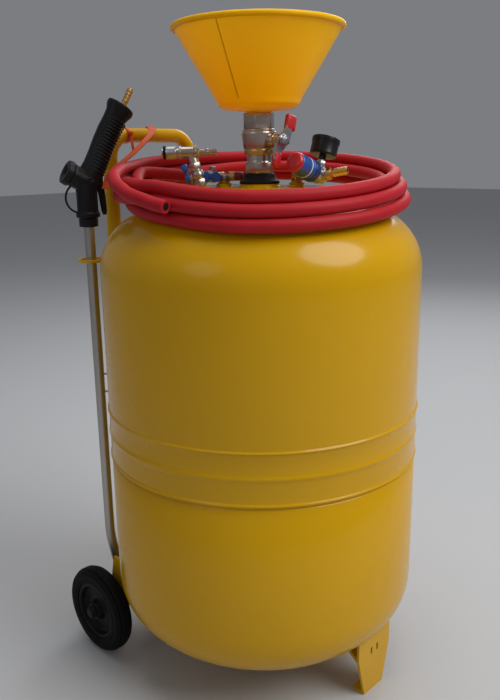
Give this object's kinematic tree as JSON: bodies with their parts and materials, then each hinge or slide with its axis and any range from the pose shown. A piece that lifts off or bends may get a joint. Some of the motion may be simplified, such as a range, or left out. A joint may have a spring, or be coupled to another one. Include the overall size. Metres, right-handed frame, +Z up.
{
  "type": "foam sprayer tank",
  "caption": "Wheeled pressure tank for spraying foam, with a filling funnel on a ball valve, air regulator with gauge, hose coil and a spray gun with a long lance.",
  "frame": {"origin": "on the tank's axis at floor level, under the middle of the tank", "axes": "+Z up along the tank's axis, -Y towards the foot, +Y towards the push handle and the axle, -X towards the spray gun"},
  "size_m": [0.4535, 0.4733, 0.9255],
  "materials": {
    "yellow_paint": "glossy yellow enamel",
    "orange_plastic": "slightly translucent moulded plastic",
    "nickel_plate": "satin nickel plate",
    "brass": "bare brass",
    "zinc_plate": "zinc plate",
    "stainless_tube": "drawn stainless tube",
    "seal_plastic": "white seal plastic",
    "black_rubber": "black moulded rubber",
    "tyre_rubber": "black tyre rubber",
    "hub_plastic": "black moulded plastic",
    "red_plastic": "dipped red plastic",
    "dark_red_plastic": "dark red plastic",
    "blue_plastic": "blue plastic",
    "dark_blue_plastic": "dark blue plastic",
    "gauge_black": "black plastic case",
    "gauge_white": "white dial",
    "needle_red": "red needle",
    "gauge_glass": "clear window",
    "gun_plastic": "black moulded plastic with a fine grain",
    "hose_rubber": "red hose with a fabric impression",
    "strap_orange": "orange plastic band"
  },
  "bodies": {
    "tank": {"tank_upper_shell": "yellow_paint", "tank_belt": "yellow_paint", "tank_lower_shell": "yellow_paint", "tank_sockets": "yellow_paint", "handle_tube": "yellow_paint", "handle_tabs": "yellow_paint", "lance_hooks": "yellow_paint", "wheel_brackets": "yellow_paint", "foot_plate": "yellow_paint", "foot_brace": "yellow_paint", "funnel": "orange_plastic", "valve_body": "nickel_plate", "valve_end_cap": "nickel_plate", "inlet_riser": "nickel_plate", "coupler_body": "nickel_plate", "mix_valve_body": "nickel_plate", "valve_band": "brass", "stem_gland": "brass", "safety_valve": "brass", "hose_barbs": "brass", "regulator_elbow": "brass", "regulator_body": "zinc_plate", "axle": "zinc_plate", "axle_fasteners": "zinc_plate", "dip_tube": "stainless_tube", "valve_seats": "seal_plastic", "filler_gasket": "black_rubber", "blank_plug": "dark_red_plastic", "regulator_bonnet": "dark_blue_plastic", "gauge_case": "gauge_black", "gauge_dial": "gauge_white", "gauge_lens": "gauge_glass", "hose_coil": "hose_rubber", "hose_lead": "hose_rubber", "hose_strap": "strap_orange"},
    "filler_handle": {"valve_ball": "zinc_plate", "valve_stem": "zinc_plate", "handle_plate": "zinc_plate", "handle_caps": "red_plastic"},
    "inlet_tap": {"inlet_ball": "zinc_plate", "inlet_lever": "blue_plastic"},
    "mix_tap": {"mix_ball": "zinc_plate", "mix_lever": "blue_plastic"},
    "coupler_ring": {"coupler_sleeve": "zinc_plate"},
    "safety_rod": {"safety_pull": "zinc_plate"},
    "reg_knob": {"regulator_knob": "blue_plastic", "knob_cap": "red_plastic"},
    "needle": {"gauge_needle": "needle_red"},
    "wheel_left": {"hub_left": "hub_plastic", "tyre_left": "tyre_rubber"},
    "wheel_right": {"hub_right": "hub_plastic", "tyre_right": "tyre_rubber"},
    "gun": {"gun_body": "gun_plastic", "gun_cap": "gun_plastic", "gun_nut": "gun_plastic", "gun_barb": "brass", "lance_tube": "stainless_tube", "lance_nozzle": "gun_plastic"},
    "trigger": {"gun_trigger": "gun_plastic"}
  },
  "joints": [
    {"name": "filler_turn", "type": "hinge", "parent": "tank", "child": "filler_handle", "pos_m": [0, 0, 0.778], "axis": [0, 1, 0], "range_deg": [0, 90]},
    {"name": "inlet_turn", "type": "hinge", "parent": "tank", "child": "inlet_tap", "pos_m": [-0.05826, 0.06248, 0.73402], "axis": [-0.6522, 0.6994, -0.2924], "range_deg": [-90, 0]},
    {"name": "mix_turn", "type": "hinge", "parent": "tank", "child": "mix_tap", "pos_m": [-0.0215, 0.06405, 0.731], "axis": [-0.7314, -0.682, 0], "range_deg": [-90, 0]},
    {"name": "sleeve_pull", "type": "slide", "parent": "tank", "child": "coupler_ring", "axis": [0.682, -0.7314, 0], "range_m": [0, 0.003], "stiffness_N_per_m": 900, "springref_m": -0.003},
    {"name": "safety_lift", "type": "slide", "parent": "tank", "child": "safety_rod", "axis": [0, 0, 1], "range_m": [0, 0.003], "stiffness_N_per_m": 900, "springref_m": -0.003},
    {"name": "knob_turn", "type": "hinge", "parent": "tank", "child": "reg_knob", "pos_m": [0.051, -0.063, 0.732], "axis": [-0.9397, 0, 0.342], "range_deg": [0, 900]},
    {"name": "needle_turn", "type": "hinge", "parent": "tank", "child": "needle", "pos_m": [0.051, -0.063, 0.732], "axis": [0.342, 0, 0.9397], "range_deg": [-270, 0], "stiffness_Nm_per_rad": 0.0002, "springref_deg": 2.86},
    {"name": "wheel_left_spin", "type": "hinge", "parent": "tank", "child": "wheel_left", "pos_m": [-0.193, 0.17497, 0.068], "axis": [1, 0, 0], "continuous": true},
    {"name": "wheel_right_spin", "type": "hinge", "parent": "tank", "child": "wheel_right", "pos_m": [0.193, 0.17497, 0.068], "axis": [1, 0, 0], "continuous": true},
    {"name": "gun_lift", "type": "slide", "parent": "tank", "child": "gun", "axis": [0, 0, 1], "range_m": [0, 0.03]},
    {"name": "trigger_pull", "type": "hinge", "parent": "gun", "child": "trigger", "pos_m": [-0.13098, 0.19769, 0.732], "axis": [0.2924, 0.9563, 0], "range_deg": [0, 10], "stiffness_Nm_per_rad": 0.4, "springref_deg": -8.59}
  ]
}
